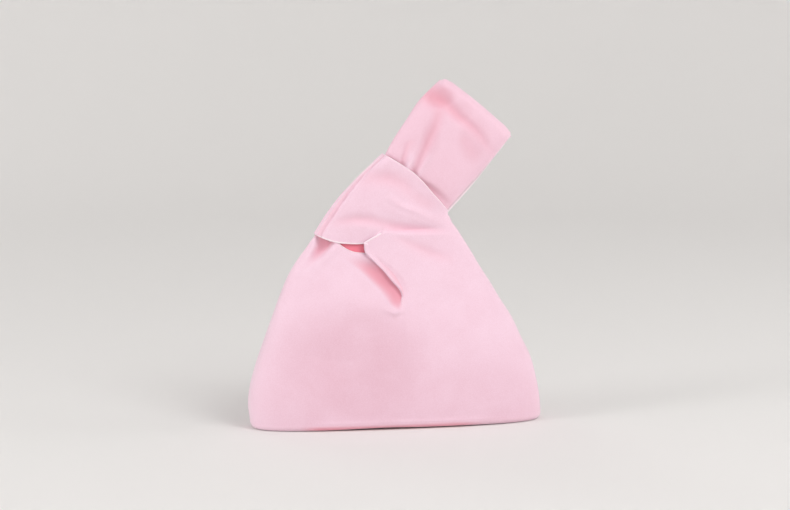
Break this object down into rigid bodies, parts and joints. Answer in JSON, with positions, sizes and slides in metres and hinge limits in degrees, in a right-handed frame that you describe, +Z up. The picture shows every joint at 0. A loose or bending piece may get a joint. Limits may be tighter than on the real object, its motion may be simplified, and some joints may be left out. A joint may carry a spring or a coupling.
{
  "type": "japanese knot bag",
  "caption": "Soft fabric wrist bag with a boxed base, whose long strap passes through its wide short loop and ends in a carrying loop.",
  "frame": {"origin": "middle of the base, on the surface that the bag stands on", "axes": "+Z up through the pouch, +X to the right as seen from the front, +Y from the front to the back"},
  "size_m": [0.24, 0.064, 0.2884],
  "materials": {
    "cloth": "matte brushed pink cloth with a short nap",
    "lining": "matte rose lining cloth",
    "wadding": "pale needled wadding",
    "board": "grey-brown stiffening board",
    "thread": "pale pink sewing thread"
  },
  "bodies": {
    "pouch": {"outer_front_panel": "cloth", "outer_back_panel": "cloth", "wadding_front": "wadding", "wadding_back": "wadding", "lining_front": "lining", "lining_back": "lining", "base_board": "board", "strap_root_front": "cloth", "strap_root_back": "cloth", "strap_root_lining_front": "lining", "strap_root_lining_back": "lining", "side_seam_thread_left": "thread", "side_seam_thread_right": "thread", "base_seam_thread": "thread"},
    "short_loop": {"loop_front_web": "cloth", "loop_back_web": "cloth", "loop_front_lining": "lining", "loop_back_lining": "lining", "loop_seam_thread": "thread"},
    "strap_neck": {"neck_front_web": "cloth", "neck_back_web": "cloth", "neck_front_lining": "lining", "neck_back_lining": "lining", "strap_bend_front": "cloth", "strap_bend_back": "cloth"},
    "handle": {"handle_front_web": "cloth", "handle_back_web": "cloth", "handle_front_lining": "lining", "handle_back_lining": "lining", "handle_seam_thread": "thread"}
  },
  "joints": [
    {"name": "loop_slide", "type": "slide", "parent": "pouch", "child": "short_loop", "axis": [0.6347, 0, 0.7727], "range_m": [0, 0.01]},
    {"name": "handle_sway", "type": "hinge", "parent": "pouch", "child": "strap_neck", "pos_m": [0.0169, 0, 0.202], "axis": [0, 1, 0], "range_deg": [-8, 8]},
    {"name": "handle_flop", "type": "hinge", "parent": "strap_neck", "child": "handle", "pos_m": [0.03213, 0, 0.22055], "axis": [-0.7727, 0, 0.6347], "range_deg": [-110, 110], "deforming": ["strap_bend_front", "strap_bend_back"]}
  ]
}
